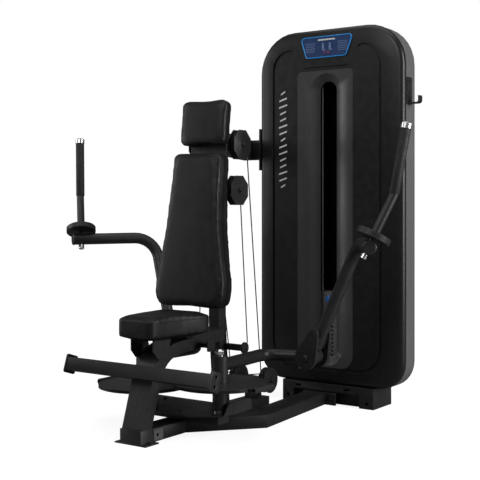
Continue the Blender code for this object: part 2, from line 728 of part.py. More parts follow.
def pin_hole(z, depth):
    front = STACK_Y - PLATE_D / 2
    return fore_aft(STACK_X, z, front - 0.004, front + depth, 0.0050, 8)


def build_stack(mats):
    lifted = (("top_weight_plate", 0), ("second_weight_plate", 1))
    for name, index in lifted:
        z = plate_z(index)
        plate = solid(name, plate_block(z, z + PLATE_T), mats["iron"])
        cut(plate, plate_bores(z, z + PLATE_T, STEM_R + GAP))
        cut(plate, pin_hole(z + PLATE_T / 2, PLATE_D / 2 + 0.004))

    low = plate_z(PLATES - 1)
    high = plate_z(2) + PLATE_T
    stack = solid("lower_weight_plates", plate_block(low, high), mats["iron"])
    cut(stack, plate_bores(low, high, STEM_R + 0.0015))
    seams = []
    for index in range(2, PLATES - 1):
        z = plate_z(index)
        outer = plate_block(z - 0.0016, z)
        for v in outer.verts:
            v.co.x = STACK_X + (v.co.x - STACK_X) * 1.05
            v.co.y = min(v.co.y, STACK_Y - PLATE_D / 2 + 0.004)
            if v.co.y < STACK_Y - PLATE_D / 2 + 0.001:
                v.co.y -= 0.005
        seams.append(outer)
    cut(stack, merged(seams))
    cut(stack, merged([pin_hole(plate_z(i) + PLATE_T / 2, 0.030) for i in range(2, PLATES)]))

    pin_z = plate_z(1) + PLATE_T / 2
    core = upright(STACK_X, STACK_Y, STACK_Z - 0.030, 0.525, STEM_R - 0.0003, 12)
    stem = solid("selector_stem", core, mats["chrome"])
    cut(stem, fore_aft(STACK_X, pin_z, STACK_Y - 0.02, STACK_Y + 0.02, 0.0050, 8))
    solid("lift_cable", upright(STACK_X, STACK_Y, 0.5253, 1.2000, CABLE_R, 8), mats["black"])

    pin_pivot = (STACK_X, 0.776, pin_z)
    pin = turned([(0, 0.010), (0.004, 0.0145), (0.012, 0.0165), (0.020, 0.0145), (0.024, 0.009),
                  (0.032, 0.009), (0.032, 0.0042), (0.082, 0.0042)], (STACK_X, 0.776, pin_z), (0, 1, 0), 16)
    solid("selector_pin", pin, mats["blue"], pin_pivot)


def build_trim(mats):
    y = TOWER_FRONT - 0.0035
    outline = rounded([(0.109, y, 1.525), (0.313, y, 1.525), (0.349, y, 1.618), (0.081, y, 1.618)],
                      [0.012, 0.012, 0.014, 0.014], steps=4)
    placard = rings([outline, [p + Vector((0, 0.0032, 0)) for p in outline]])
    solid("placard", placard, mats["blue"])

    x = TOWER_X[1] - 0.0015 + GAP
    hook = solid("towel_hook", block((x, 0.790, 1.300), (x + 0.004, 0.836, 1.416)), mats["black"])
    path = rounded([(x + 0.002, 0.813, 1.306), (x + 0.052, 0.813, 1.306), (x + 0.052, 0.813, 1.336)], 0.010,
                   closed=False, steps=4)
    join(hook, sweep(rectangle(0.030, 0.006), path, up=(0, 0, 1)))


def main():
    for obj in list(bpy.data.objects):
        bpy.data.objects.remove(obj, do_unlink=True)
    mats = {
        "paint": material("charcoal_paint", (0.020, 0.020, 0.021), 0.42, 0.0),
        "vinyl": material("black_vinyl", (0.012, 0.012, 0.013), 0.48),
        "black": material("black_plastic", (0.010, 0.010, 0.010), 0.50),
        "plastic": material("pulley_nylon", (0.016, 0.016, 0.016), 0.40),
        "rubber": material("grip_rubber", (0.009, 0.009, 0.009), 0.70),
        "chrome": material("bright_chrome", (0.80, 0.80, 0.80), 0.12, 1.0),
        "aluminium": material("turned_aluminium", (0.72, 0.72, 0.73), 0.28, 1.0),
        "iron": material("weight_iron", (0.018, 0.018, 0.019), 0.55, 0.2),
        "shell": material("tower_shell", (0.015, 0.015, 0.016), 0.42),
        "side": material("tower_side", (0.070, 0.070, 0.072), 0.45),
        "strip": material("tower_strip", (0.050, 0.050, 0.052), 0.40),
        "blue": material("blue_plastic", (0.020, 0.110, 0.450), 0.30),
    }
    build_base(mats["paint"])
    build_pads(mats["vinyl"], mats["black"])
    build_arms(mats)
    build_pulleys(mats)
    build_cables(mats)
    build_shroud(mats)
    build_centre_panel(mats)
    build_tower_frame(mats)
    build_stack(mats)
    build_trim(mats)


main()
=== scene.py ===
"""Looks of the seated pec fly machine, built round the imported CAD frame."""
import json
import math

import bmesh
import bpy
import numpy as np
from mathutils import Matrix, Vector
from mathutils.bvhtree import BVHTree


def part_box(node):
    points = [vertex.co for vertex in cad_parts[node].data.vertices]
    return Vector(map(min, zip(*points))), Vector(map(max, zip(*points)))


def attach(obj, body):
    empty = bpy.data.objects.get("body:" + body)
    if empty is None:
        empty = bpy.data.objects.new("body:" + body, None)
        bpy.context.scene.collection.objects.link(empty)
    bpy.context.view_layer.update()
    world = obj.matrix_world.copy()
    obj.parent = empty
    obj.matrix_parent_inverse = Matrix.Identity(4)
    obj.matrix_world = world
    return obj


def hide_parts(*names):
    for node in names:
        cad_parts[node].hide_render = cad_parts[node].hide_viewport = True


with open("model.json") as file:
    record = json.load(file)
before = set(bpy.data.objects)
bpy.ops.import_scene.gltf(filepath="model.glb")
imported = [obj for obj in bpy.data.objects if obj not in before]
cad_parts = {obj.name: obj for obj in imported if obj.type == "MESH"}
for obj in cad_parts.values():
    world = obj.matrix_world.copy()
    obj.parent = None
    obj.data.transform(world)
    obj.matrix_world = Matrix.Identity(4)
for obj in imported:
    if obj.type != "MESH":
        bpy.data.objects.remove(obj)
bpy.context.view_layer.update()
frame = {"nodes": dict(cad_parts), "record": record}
NODES = frame["nodes"]
SIDES = (("left", 1), ("right", -1))

SHARP = math.radians(32)        # edges sharper than this stay sharp
EDGE = 0.0022                   # rounding of the frame tubes' edges
MERGE = 0.00002                 # points closer than this are one point
BACK_LEAN = math.radians(6.15)  # backrest and headrest, from upright
EVEN_ROUNDS = 45                # how far creases are evened out, in mesh steps
VOXEL = 0.005                   # cushion remesh size
CUSHION_CAP = {"seat_pad": 0.014, "backrest_pad": 0.009, "headrest_pad": 0.008}
TUCK = 0.03                     # share by which a cushion's back half is drawn in
SEAM_R = 0.0014                 # welt round a cushion's face
SEAM_BACK = 0.010               # welt's distance behind the face
PROUD = 0.010                   # how far a cushion may stand out of its plain solid
CROWN = {"seat_pad": 0.013, "backrest_pad": 0.007, "headrest_pad": 0.006}
SWELL = 0.0045                  # how much smaller a cushion starts, all round


# ---------------------------------------------------------------- materials

class Shader:
    """A Principled material with short helpers for its nodes."""

    def __init__(self, name, roughness=0.5, metallic=0.0):
        self.mat = bpy.data.materials.new(name)
        self.mat.use_nodes = True
        self.tree = self.mat.node_tree
        self.out = self.tree.nodes["Principled BSDF"]
        self.out.inputs["Roughness"].default_value = roughness
        self.out.inputs["Metallic"].default_value = metallic
        self.out.inputs["Specular IOR Level"].default_value = 0.40
        self.coords = self.tree.nodes.new("ShaderNodeTexCoord").outputs["Object"]

    def node(self, kind, **values):
        made = self.tree.nodes.new(kind)
        for key, value in values.items():
            setattr(made, key, value)
        return made

    def link(self, source, target):
        self.tree.links.new(source, target)

    def noise(self, scale, detail=4.0, stretch=(1, 1, 1)):
        """Cloudy 0..1 pattern in the piece's own coordinates."""
        mapping = self.node("ShaderNodeMapping")
        mapping.inputs["Scale"].default_value = stretch
        self.link(self.coords, mapping.inputs["Vector"])
        made = self.node("ShaderNodeTexNoise")
        made.inputs["Scale"].default_value = scale
        made.inputs["Detail"].default_value = detail
        self.link(mapping.outputs["Vector"], made.inputs["Vector"])
        return made.outputs["Fac"]

    def cells(self, scale):
        """Distance to the nearest cell border, for grain."""
        made = self.node("ShaderNodeTexVoronoi", feature="DISTANCE_TO_EDGE")
        made.inputs["Scale"].default_value = scale
        self.link(self.coords, made.inputs["Vector"])
        return made.outputs["Distance"]

    def spread(self, value, low, high):
        """Maps a 0..1 value to low..high."""
        made = self.node("ShaderNodeMapRange")
        made.inputs["From Min"].default_value = 0.3
        made.inputs["From Max"].default_value = 0.7
        made.inputs["To Min"].default_value = low
        made.inputs["To Max"].default_value = high
        self.link(value, made.inputs["Value"])
        return made.outputs["Result"]

    def mix(self, fac, dark, light):
        """Colour between dark and light."""
        made = self.node("ShaderNodeMix", data_type="RGBA")
        made.inputs["A"].default_value = (*dark, 1.0)
        made.inputs["B"].default_value = (*light, 1.0)
        self.link(fac, made.inputs["Factor"])
        return made.outputs["Result"]

    def color(self, source):
        self.link(source, self.out.inputs["Base Color"])

    def rough(self, source):
        self.link(source, self.out.inputs["Roughness"])

    def bump(self, height, distance, strength=0.4, radius=0.0):
        """Surface relief, over edges rounded by radius."""
        made = self.node("ShaderNodeBump")
        made.inputs["Strength"].default_value = strength
        made.inputs["Distance"].default_value = distance
        self.link(height, made.inputs["Height"])
        if radius:
            soft = self.node("ShaderNodeBevel", samples=4)
            soft.inputs["Radius"].default_value = radius
            self.link(soft.outputs["Normal"], made.inputs["Normal"])
        self.link(made.outputs["Normal"], self.out.inputs["Normal"])

    def worn(self, base, worn, amount):
        """Base colour lightened on exposed edges, broken up with noise."""
        edge = self.node("ShaderNodeNewGeometry").outputs["Pointiness"]
        sharp = self.node("ShaderNodeMapRange")
        sharp.inputs["From Min"].default_value = 0.52
        sharp.inputs["From Max"].default_value = 0.60
        self.link(edge, sharp.inputs["Value"])
        broken = self.node("ShaderNodeMath", operation="MULTIPLY")
        self.link(sharp.outputs["Result"], broken.inputs[0])
        self.link(self.spread(self.noise(90), 0.0, amount), broken.inputs[1])
        return self.mix(broken.outputs["Value"], base, worn)


def powder_coat(name, shade, roughness):
    """Fine orange-peel powder coat with lightly rubbed edges."""
    s = Shader(name)
    s.color(s.worn((shade, shade, shade * 1.03), (shade * 3, shade * 3, shade * 3.1), 0.5))
    s.rough(s.spread(s.noise(14), roughness - 0.03, roughness + 0.04))
    s.bump(s.noise(900, 2.0), 0.0003, 0.10, radius=0.0015)
    return s.mat


def vinyl():
    """Upholstery vinyl: small cellular grain over soft, broad dents."""
    s = Shader("upholstery_vinyl")
    s.color(s.mix(s.spread(s.noise(7), 0.0, 1.0), (0.0050, 0.0050, 0.0054), (0.0085, 0.0085, 0.0090)))
    s.rough(s.spread(s.noise(22), 0.40, 0.56))
    grain = s.node("ShaderNodeMath", operation="ADD")
    s.link(s.cells(520), grain.inputs[0])
    s.link(s.noise(60), grain.inputs[1])
    s.bump(grain.outputs["Value"], 0.0006, 0.30)
    s.out.inputs["Specular IOR Level"].default_value = 0.30
    return s.mat


def moulded(name, shade, roughness, tint=1.02):
    """Moulded plastic with a fine spark-eroded texture and slight unevenness."""
    s = Shader(name)
    dark = (shade * 0.92,) * 3
    light = (shade * 1.06, shade * 1.06, shade * 1.06 * tint)
    s.color(s.mix(s.spread(s.noise(5), 0.0, 1.0), dark, light))
    s.rough(s.spread(s.noise(30), roughness - 0.04, roughness + 0.05))
    s.bump(s.noise(1300, 1.0), 0.0003, 0.16, radius=0.0015)
    return s.mat


def metal(name, shade, roughness, lines):
    """Bright metal with turning or drawing lines."""
    s = Shader(name, metallic=1.0)
    s.color(s.mix(s.noise(40), (shade * 0.86,) * 3, (shade, shade, shade * 1.01)))
    s.rough(s.spread(s.noise(60, 2.0, (1, 1, lines)), roughness, roughness + 0.12))
    s.bump(s.noise(200, 2.0, (1, 1, lines)), 0.0002, 0.10)
    return s.mat


def rubber():
    """Closed-cell grip rubber with a fine pitted skin."""
    s = Shader("grip_foam_rubber")
    s.color(s.mix(s.noise(30), (0.008, 0.008, 0.008), (0.013, 0.013, 0.013)))
    s.rough(s.spread(s.noise(60), 0.55, 0.72))
    s.bump(s.cells(900), 0.0005, 0.35)
    return s.mat


def tinted(name, dark, light, roughness):
    """Coloured plastic or print under a thin clear coat."""
    s = Shader(name)
    s.color(s.mix(s.spread(s.noise(12), 0.0, 1.0), dark, light))
    s.rough(s.spread(s.noise(50), roughness - 0.04, roughness + 0.06))
    s.bump(s.noise(700), 0.0002, 0.12)
    s.out.inputs["Coat Weight"].default_value = 0.15
    return s.mat


def cast_iron():
    """Grey painted castings, rubbed bright along their edges."""
    s = Shader("painted_cast_iron")
    s.color(s.worn((0.130, 0.130, 0.132), (0.30, 0.30, 0.30), 0.7))
    s.rough(s.spread(s.noise(40), 0.42, 0.60))
    s.bump(s.noise(350), 0.0006, 0.35, radius=0.0010)
    return s.mat


def cable_sheath():
    """Black nylon sheath that shows the twist of the wire rope below."""
    s = Shader("cable_sheath")
    wave = s.node("ShaderNodeTexWave", bands_direction="DIAGONAL")
    wave.inputs["Scale"].default_value = 160
    s.link(s.coords, wave.inputs["Vector"])
    s.color(s.mix(wave.outputs["Fac"], (0.008, 0.008, 0.008), (0.020, 0.020, 0.020)))
    s.rough(s.spread(s.noise(80), 0.30, 0.45))
    s.bump(wave.outputs["Fac"], 0.0004, 0.3)
    return s.mat


def painted_shade_near_black():
    """Near-black painted shade for the weight well behind the stack and for a bolt hole; it hardly returns
    any light.
    """
    s = Shader("painted_shade_near_black", roughness=0.95)
    s.color(s.mix(s.noise(20), (0.0012, 0.0012, 0.0012), (0.0022, 0.0022, 0.0022)))
    s.out.inputs["Specular IOR Level"].default_value = 0.05
    return s.mat


MATS = {
    "paint": powder_coat("powder_coat", 0.0125, 0.40),
    "steel": powder_coat("satin_black_steel", 0.0100, 0.46),
    "vinyl": vinyl(),
    "guard": moulded("guard_plastic", 0.014, 0.48),
    "nylon": moulded("pulley_nylon", 0.012, 0.42),
    "shell": moulded("tower_shell", 0.0070, 0.36),
    "side": moulded("tower_side_shell", 0.120, 0.42),
    "strip": moulded("tower_strip", 0.050, 0.33),
    "chrome": metal("bright_chrome", 0.82, 0.08, 1.0),
    "aluminium": metal("turned_aluminium", 0.78, 0.26, 14.0),
    "rubber": rubber(),
    "iron": cast_iron(),
    "cable": cable_sheath(),
    # painted shade: near-black for the well behind the weights and for the cheek's bolt hole
    "painted_shade": painted_shade_near_black(),
    "blue": tinted("blue_knob", (0.020, 0.105, 0.36), (0.030, 0.130, 0.42), 0.30),
    "field": tinted("placard_field", (0.010, 0.034, 0.120), (0.014, 0.045, 0.150), 0.34),
    "border": tinted("placard_border", (0.010, 0.250, 0.68), (0.020, 0.300, 0.78), 0.34),
    "print": tinted("white_print", (0.66, 0.67, 0.68), (0.78, 0.79, 0.80), 0.45),
    "print_blue": tinted("pale_print", (0.12, 0.20, 0.38), (0.16, 0.25, 0.44), 0.45),
    "red": tinted("red_print", (0.50, 0.03, 0.04), (0.60, 0.04, 0.05), 0.45),
}

SLOT_MATS = {
    "charcoal_paint": "paint", "vinyl": "vinyl", "black_steel": "steel", "black_plastic": "guard",
    "pulley_nylon": "nylon", "grip_rubber": "rubber", "chrome": "chrome", "aluminium": "aluminium",
    "weight_iron": "iron", "cable": "cable", "tower_shell": "shell", "tower_side": "side",
    "tower_strip": "strip", "blue_plastic": "blue",
}
NODE_MATS = {"placard": "field"}


# ------------------------------------------------------------- CAD finishing

def smooth_group():
    """Geometry nodes: shade a mesh smooth except across sharp edges."""
    group = bpy.data.node_groups.new("smooth_by_angle", "GeometryNodeTree")
    group.interface.new_socket("Geometry", in_out="INPUT", socket_type="NodeSocketGeometry")
    group.interface.new_socket("Geometry", in_out="OUTPUT", socket_type="NodeSocketGeometry")
    start = group.nodes.new("NodeGroupInput")
    end = group.nodes.new("NodeGroupOutput")
    faces = group.nodes.new("GeometryNodeSetShadeSmooth")
    edges = group.nodes.new("GeometryNodeSetShadeSmooth")
    edges.domain = "EDGE"
    angle = group.nodes.new("GeometryNodeInputMeshEdgeAngle")
    limit = group.nodes.new("FunctionNodeCompare")
    limit.operation = "LESS_THAN"
    limit.inputs["B"].default_value = SHARP
    group.links.new(start.outputs[0], faces.inputs["Geometry"])
    group.links.new(faces.outputs["Geometry"], edges.inputs["Geometry"])
    group.links.new(angle.outputs["Unsigned Angle"], limit.inputs["A"])
    group.links.new(limit.outputs["Result"], edges.inputs["Shade Smooth"])
    group.links.new(edges.outputs["Geometry"], end.inputs[0])
    return group


SMOOTH = smooth_group()
ROUNDED_NODES = {"foot_block", "spine_tube", "side_tube", "front_crossbar", "upper_beam", "tower_base"}


def add_smooth(obj):
    """Smooth shading that leaves sharp edges alone."""
    obj.modifiers.new("smooth_by_angle", "NODES").node_group = SMOOTH


def finish_cad(name, obj, slot):
    """Procedural material, rounded edges and smooth shading on a carried-over CAD node."""
    obj.data.materials.clear()
    obj.data.materials.append(MATS[NODE_MATS.get(name, SLOT_MATS[slot])])
    normals = obj.data.attributes.get("custom_normal")
    if normals:
        obj.data.attributes.remove(normals)
    weld = obj.modifiers.new("weld", "WELD")
    weld.merge_threshold = MERGE
    if name in ROUNDED_NODES:
        flat = obj.modifiers.new("flat", "DECIMATE")
        flat.decimate_type = "DISSOLVE"
        flat.angle_limit = math.radians(1.0)
        bevel = obj.modifiers.new("edges", "BEVEL")
        bevel.width = EDGE
        bevel.segments = 2
        bevel.limit_method = "ANGLE"
        bevel.angle_limit = math.radians(40)
        bevel.use_clamp_overlap = True
    add_smooth(obj)


# ------------------------------------------------------------------- pieces

def piece(name, bm, mat, body):
    """A visible mesh that rides on a CAD body."""
    mesh = bpy.data.meshes.new(name)
    bmesh.ops.recalc_face_normals(bm, faces=bm.faces)
    bm.to_mesh(mesh)
    bm.free()
    mesh.materials.append(MATS[mat])
    mesh.shade_smooth()
    mesh.set_sharp_from_angle(angle=SHARP)
    obj = bpy.data.objects.new(name, mesh)
    bpy.context.scene.collection.objects.link(obj)
    if body:
        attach(obj, body)
    return obj


def loft(loops):
    """Closed skin over a row of loops, capped at both ends."""
    bm = bmesh.new()
    grid = [[bm.verts.new(p) for p in loop] for loop in loops]
    count = len(loops[0])
    for a, b in zip(grid, grid[1:]):
        for i in range(count):
            j = (i + 1) % count
            bm.faces.new((a[i], a[j], b[j], b[i]))
    bm.faces.new(grid[0][::-1])
    bm.faces.new(grid[-1])
    return bm


def lathe(profile, start, axis, sides=32):
    """Solid of revolution from (distance along the axis, radius) pairs."""
    start = Vector(start)
    axis = Vector(axis).normalized()
    side = axis.orthogonal().normalized()
    other = axis.cross(side)
    turn = [2 * math.pi * i / sides for i in range(sides)]
    ring = [side * math.cos(a) + other * math.sin(a) for a in turn]
    return loft([[start + axis * along + spoke * radius for spoke in ring] for along, radius in profile])


def tube(name, points, radius, mat, body, cyclic=False):
    """Round bar along a path, as a mesh."""
    curve = bpy.data.curves.new(name, "CURVE")
    curve.dimensions = "3D"
    curve.bevel_depth = radius
    curve.bevel_resolution = 4
    curve.use_fill_caps = True
    line = curve.splines.new("POLY")
    line.points.add(len(points) - 1)
    for target, p in zip(line.points, points):
        target.co = (*p, 1.0)
    line.use_cyclic_u = cyclic
    maker = bpy.data.objects.new(name + "_path", curve)
    bpy.context.scene.collection.objects.link(maker)
    bpy.context.view_layer.update()
    mesh = bpy.data.meshes.new_from_object(maker.evaluated_get(bpy.context.evaluated_depsgraph_get()))
    bpy.data.objects.remove(maker)
    mesh.materials.clear()
    bm = bmesh.new()
    bm.from_mesh(mesh)
    return piece(name, bm, mat, body)


def bolt(name, place, axis, radius, body, mat="steel"):
    """Domed washer and hexagon socket head, standing on place along axis."""
    place = Vector(place)
    axis = Vector(axis).normalized()
    washer = [(-0.001, radius * 1.7), (0.0010, radius * 1.7), (0.0016, radius * 1.62)]
    head = [(0.0016, radius * 1.12), (radius * 0.9, radius * 1.12), (radius * 1.15, radius * 0.95)]
    socket = [(radius * 1.15, radius * 0.52), (radius * 0.75, radius * 0.50)]
    profile = washer + head + socket
    return piece(name, lathe(profile, place, axis, 24), mat, body)


def slab(points, depth, axis, edge=0.0008):
    """Thin plate from an outline, pulled out along axis, with a softened front edge."""
    axis = Vector(axis).normalized()
    middle = sum((Vector(p) for p in points), Vector()) / len(points)
    base = [Vector(p) for p in points]
    face = [p + axis * (depth - edge) for p in base]
    top = [p + axis * depth + (middle - p).normalized() * edge for p in base]
    return loft([base, face, top])


# ----------------------------------------------------------------- cushions

def shrink_copy(name):
    """Copy of a soft CAD solid, a little smaller, remeshed to even voxels."""
    source = NODES[name].data
    low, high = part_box(name)
    middle = (low + high) / 2
    size = high - low
    mesh = source.copy()
    for v in mesh.vertices:
        for i in range(3):
            v.co[i] = middle[i] + (v.co[i] - middle[i]) * (1 - 2 * SWELL / size[i])
    obj = bpy.data.objects.new(name.replace("_pad", "_cushion"), mesh)
    bpy.context.scene.collection.objects.link(obj)
    weld = obj.modifiers.new("weld", "WELD")
    weld.merge_threshold = MERGE
    remesh = obj.modifiers.new("remesh", "REMESH")
    remesh.mode = "VOXEL"
    remesh.voxel_size = VOXEL
    return bake(obj)


def bake(obj):
    """Applies an object's modifiers to its mesh."""
    bpy.context.view_layer.update()
    evaluated = obj.evaluated_get(bpy.context.evaluated_depsgraph_get())
    mesh = bpy.data.meshes.new_from_object(evaluated)
    obj.modifiers.clear()
    obj.data = mesh
    return obj


def relax(obj, rounds=4):
    """Rounds off the voxel steps and the hard corners."""
    made = obj.modifiers.new("relax", "SMOOTH")
    made.factor = 0.5
    made.iterations = rounds
    return bake(obj)


def inflate(obj, cap):
    """Swells a closed mesh with cloth pressure, then limits how far each point may go."""
    start = [v.co.copy() for v in obj.data.vertices]
    cloth = obj.modifiers.new("cloth", "CLOTH")
    settings = cloth.settings
    settings.quality = 4
    settings.mass = 0.3
    settings.tension_stiffness = 12
    settings.compression_stiffness = 12
    settings.bending_stiffness = 1.5
    settings.use_pressure = True
    settings.uniform_pressure_force = 4.0
    settings.effector_weights.gravity = 0.0
    cloth.collision_settings.use_collision = False
    scene = bpy.context.scene
    for number in range(1, 21):
        scene.frame_set(number)
    bake(obj)
    moves = even_out([v.co - was for v, was in zip(obj.data.vertices, start)], obj.data.edges)
    for v, was, move in zip(obj.data.vertices, start, moves):
        v.co = was + move * min(1.0, cap / max(move.length, 1e-6))
    scene.frame_set(1)
    return obj


def even_out(moves, edges):
    """Averages the swell with its neighbours', which keeps the fullness and drops the creases."""
    values = np.array(moves)
    pairs = np.array([tuple(e.vertices) for e in edges])
    ends = np.concatenate((pairs, pairs[:, ::-1]))
    count = np.bincount(ends[:, 0], minlength=len(values))[:, None]
    for _ in range(EVEN_ROUNDS):
        total = np.zeros_like(values)
        np.add.at(total, ends[:, 0], values[ends[:, 1]])
        values = (values + total) / (count + 1)
    return [Vector(v) for v in values]


def hold_inside(obj, name, proud):
    """Keeps a cushion within its CAD box plus what fabric may stand proud."""
    low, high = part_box(name)
    for v in obj.data.vertices:
        for i in range(3):
            v.co[i] = min(max(v.co[i], low[i] - proud), high[i] + proud)


def face_loop(name, direction):
    """Ordered rim of the CAD solid's face that looks along direction."""
    direction = Vector(direction).normalized()
    bm = bmesh.new()
    bm.from_mesh(NODES[name].data)
    bmesh.ops.remove_doubles(bm, verts=bm.verts, dist=MERGE)
    bm.normal_update()
    facing = {f for f in bm.faces if f.normal.dot(direction) > 0.98}
    rim = [e for e in bm.edges if sum(f in facing for f in e.link_faces) == 1]
    links = {}
    for e in rim:
        a, b = e.verts
        links.setdefault(a, []).append(b)
        links.setdefault(b, []).append(a)
    first = min(links, key=lambda v: tuple(v.co))
    path = [first]
    before = None
    here = first
    while True:
        ahead = next((v for v in links[here] if v is not before), None)
        if ahead is None or ahead is first:
            break
        path.append(ahead)
        before, here = here, ahead
    loop = [v.co.copy() for v in path]
    bm.free()
    return loop


def resample(loop, spacing):
    """Closed loop at even spacing."""
    out = []
    for a, b in zip(loop, loop[1:] + loop[:1]):
        count = max(1, round((b - a).length / spacing))
        out += [a.lerp(b, k / count) for k in range(count)]
    return out


def seam(name, node, cushion, direction):
    """Raised welt along the edge between a cushion's face and its side wall."""
    mesh = cushion.data
    tree = BVHTree.FromPolygons([v.co for v in mesh.vertices], [p.vertices for p in mesh.polygons])
    points = []
    for p in resample(face_loop(node, direction), 0.006):
        place, normal, _, _ = tree.find_nearest(p - Vector(direction).normalized() * SEAM_BACK)
        points.append(place + normal * 0.0002)
    for _ in range(2):
        after = points[1:] + points[:1]
        before = points[-1:] + points[:-1]
        points = [(a + p * 2 + b) / 4 for a, p, b in zip(before, points, after)]
    tube(name, points, SEAM_R, "vinyl", "frame", cyclic=True)


def build_cushions():
    """The three pads: swollen by cloth pressure, crowned, and welted along the front edge."""
    back = (0, -math.cos(BACK_LEAN), math.sin(BACK_LEAN))
    fronts = {"seat_pad": (0, 0, 1), "backrest_pad": back, "headrest_pad": back}
    for name, front in fronts.items():
        cushion = shrink_copy(name)
        relax(cushion, 5)
        inflate(cushion, CUSHION_CAP[name])
        crown(cushion, name, Vector(front).normalized())
        hold_inside(cushion, name, PROUD)
        relax(cushion, 6)
        finer = cushion.modifiers.new("finer", "SUBSURF")
        finer.levels = 1
        finer.render_levels = 1
        bake(cushion)
        cushion.data.materials.clear()
        cushion.data.materials.append(MATS["vinyl"])
        cushion.data.shade_smooth()
        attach(cushion, "frame")
        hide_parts(name)
        seam(name.replace("_pad", "_front_seam"), name, cushion, front)


def crown(obj, name, front):
    """Lifts the middle of a cushion's face and tucks its back edge in."""
    low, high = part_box(name)
    middle = (low + high) / 2
    half = (high - low) / 2
    level = name == "seat_pad"
    up = Vector((0, 1, 0)) if level else Vector((0, front.z, front.y)).normalized()
    reach = half.y if level else half.z
    for v in obj.data.vertices:
        out = v.co - middle
        across = min(1.0, abs(out.x) / half.x)
        along = min(1.0, abs(out.dot(up)) / reach)
        rise = (1 - across ** 2.2) * (1 - along ** 2.6)
        depth = out.dot(front)
        if depth > 0:
            v.co += front * (CROWN[name] * rise)
        elif not level:
            v.co -= Vector((out.x, 0, 0)) * TUCK


# ----------------------------------------------------------- machine details

CAM_R = 0.180                   # cam rim, from its pivot
PULLEY_R = 0.0485               # cable line on a pulley
CABLE_R = 0.0024
WINDOW = 0.031                  # width of the tower frame's rails
PRINT_T = 0.0006                # thickness of a printed mark
PRINT_EDGE = 0.0002
SMALL_BOLT = 0.0055


def centre(node):
    """Middle of a CAD node's box."""
    low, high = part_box(node)
    return (low + high) / 2


def inset_loop(loop, distance):
    """Loop moved towards its middle by about distance."""
    middle = sum(loop, Vector()) / len(loop)
    return [p + (middle - p).normalized() * distance for p in loop]


def plate_outline(x0, x1, z0, z1, y):
    """Upright rectangle at depth y."""
    return [(x0, y, z0), (x1, y, z0), (x1, y, z1), (x0, y, z1)]


def build_placard():
    """Bright border, a blank title bar and small plain figures: no lettering."""
    low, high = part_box("placard")
    y = low.y
    rim = inset_loop(face_loop("placard", (0, -1, 0)), 0.0035)
    tube("placard_border", rim, 0.0024, "border", "frame", cyclic=True)
    middle = (low.x + high.x) / 2
    top = high.z

    def bar(name, x, z, width, height, mat):
        outline = plate_outline(x - width / 2, x + width / 2, z - height / 2, z + height / 2, y)
        piece(name, slab(outline, PRINT_T, (0, -1, 0), PRINT_EDGE), mat, "frame")

    bar("placard_title_bar", middle, top - 0.015, 0.085, 0.0060, "print")
    for side in (-1, 1):
        for row in range(6):
            width = 0.052 - 0.004 * (row % 3)
            line = top - 0.028 - row * 0.0075
            bar(f"placard_note_{side + 1}_{row}", middle + side * 0.082, line, width, 0.0020, "print_blue")
        figure = middle + side * 0.017
        bar(f"placard_figure_body_{side + 1}", figure, top - 0.048, 0.010, 0.018, "print_blue")
        bar(f"placard_figure_seat_{side + 1}", figure + 0.004, top - 0.060, 0.018, 0.004, "print_blue")
        head = lathe([(0, 0.0045), (PRINT_T, 0.0045)], (figure, y, top - 0.034), (0, -1, 0), 20)
        piece(f"placard_figure_head_{side + 1}", head, "print_blue", "frame")
        bar(f"placard_mark_{side + 1}", middle + side * 0.009, top - 0.071, 0.006, 0.006, "red")


def build_panel_graphic():
    """A plain row of slanted white dashes down the left field of the tower."""
    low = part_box("front_shroud")[0]
    x = low.x + 0.127
    y = low.y
    for i in range(15):
        z = low.z + 1.285 - i * 0.0300
        reach = 0.011 + 0.011 * abs(math.sin(i * 0.9))
        outline = [(x - reach, y, z - 0.004), (x + reach, y, z + 0.008), (x + reach, y, z + 0.015),
                   (x - reach, y, z + 0.003)]
        piece(f"panel_dash_{i:02d}", slab(outline, PRINT_T, (0, -1, 0), PRINT_EDGE), "print", "frame")


def build_cables():
    """Visible cable runs beside the main ones, each side."""
    for name, sign in SIDES:
        middle = centre(f"{name}_middle_pulley")
        low = centre(f"{name}_lower_pulley")
        cam = centre(f"{name}_cam")
        disc_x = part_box("rear_post")[1].x * sign * 0.98
        start = middle + Vector((0, PULLEY_R * 0.55, -PULLEY_R * 0.80))
        end = Vector((disc_x, 0.280, 0.318))
        tube(f"{name}_guide_cable", [start, end], CABLE_R, "cable", "frame")
        rim = Vector((sign * 0.190 - sign * (CAM_R - 0.001), 0.010, cam.z))
        leave = low + Vector((0, -PULLEY_R * 0.72, PULLEY_R * 0.66))
        bend = leave.lerp(rim, 0.5)
        tube(f"{name}_cam_cable", [leave, bend, rim], CABLE_R, "cable", "frame")
        wheel = [low + Vector((0, math.cos(a), math.sin(a))) * PULLEY_R
                 for a in [math.radians(130 - 12 * k) for k in range(26)]]
        tube(f"{name}_pulley_wrap", wheel, CABLE_R, "cable", "frame")


def build_pivots():
    """Hexagon nuts on the pivot shafts and small bright stop screws at the elbows."""
    for name, sign in SIDES:
        low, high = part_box(f"{name}_pivot_shaft")
        middle = (low + high) / 2
        nut = lathe([(0, 0.0195), (0.0015, 0.0215), (0.0125, 0.0215), (0.0140, 0.0195)],
                    (middle.x, middle.y, high.z - 0.0190), (0, 0, 1), 6)
        piece(f"{name}_pivot_nut", nut, "chrome", "frame")
        elbow = centre(f"{name}_elbow_bolt")
        stop = elbow + Vector((-sign * 0.046, -0.010, -0.026))
        screw = lathe([(0, 0.0052), (0.016, 0.0052), (0.016, 0.0095), (0.0225, 0.0095), (0.024, 0.008)],
                      stop, (0, 0, -1), 12)
        piece(f"{name}_elbow_stop", screw, "chrome", f"{name}_arm")


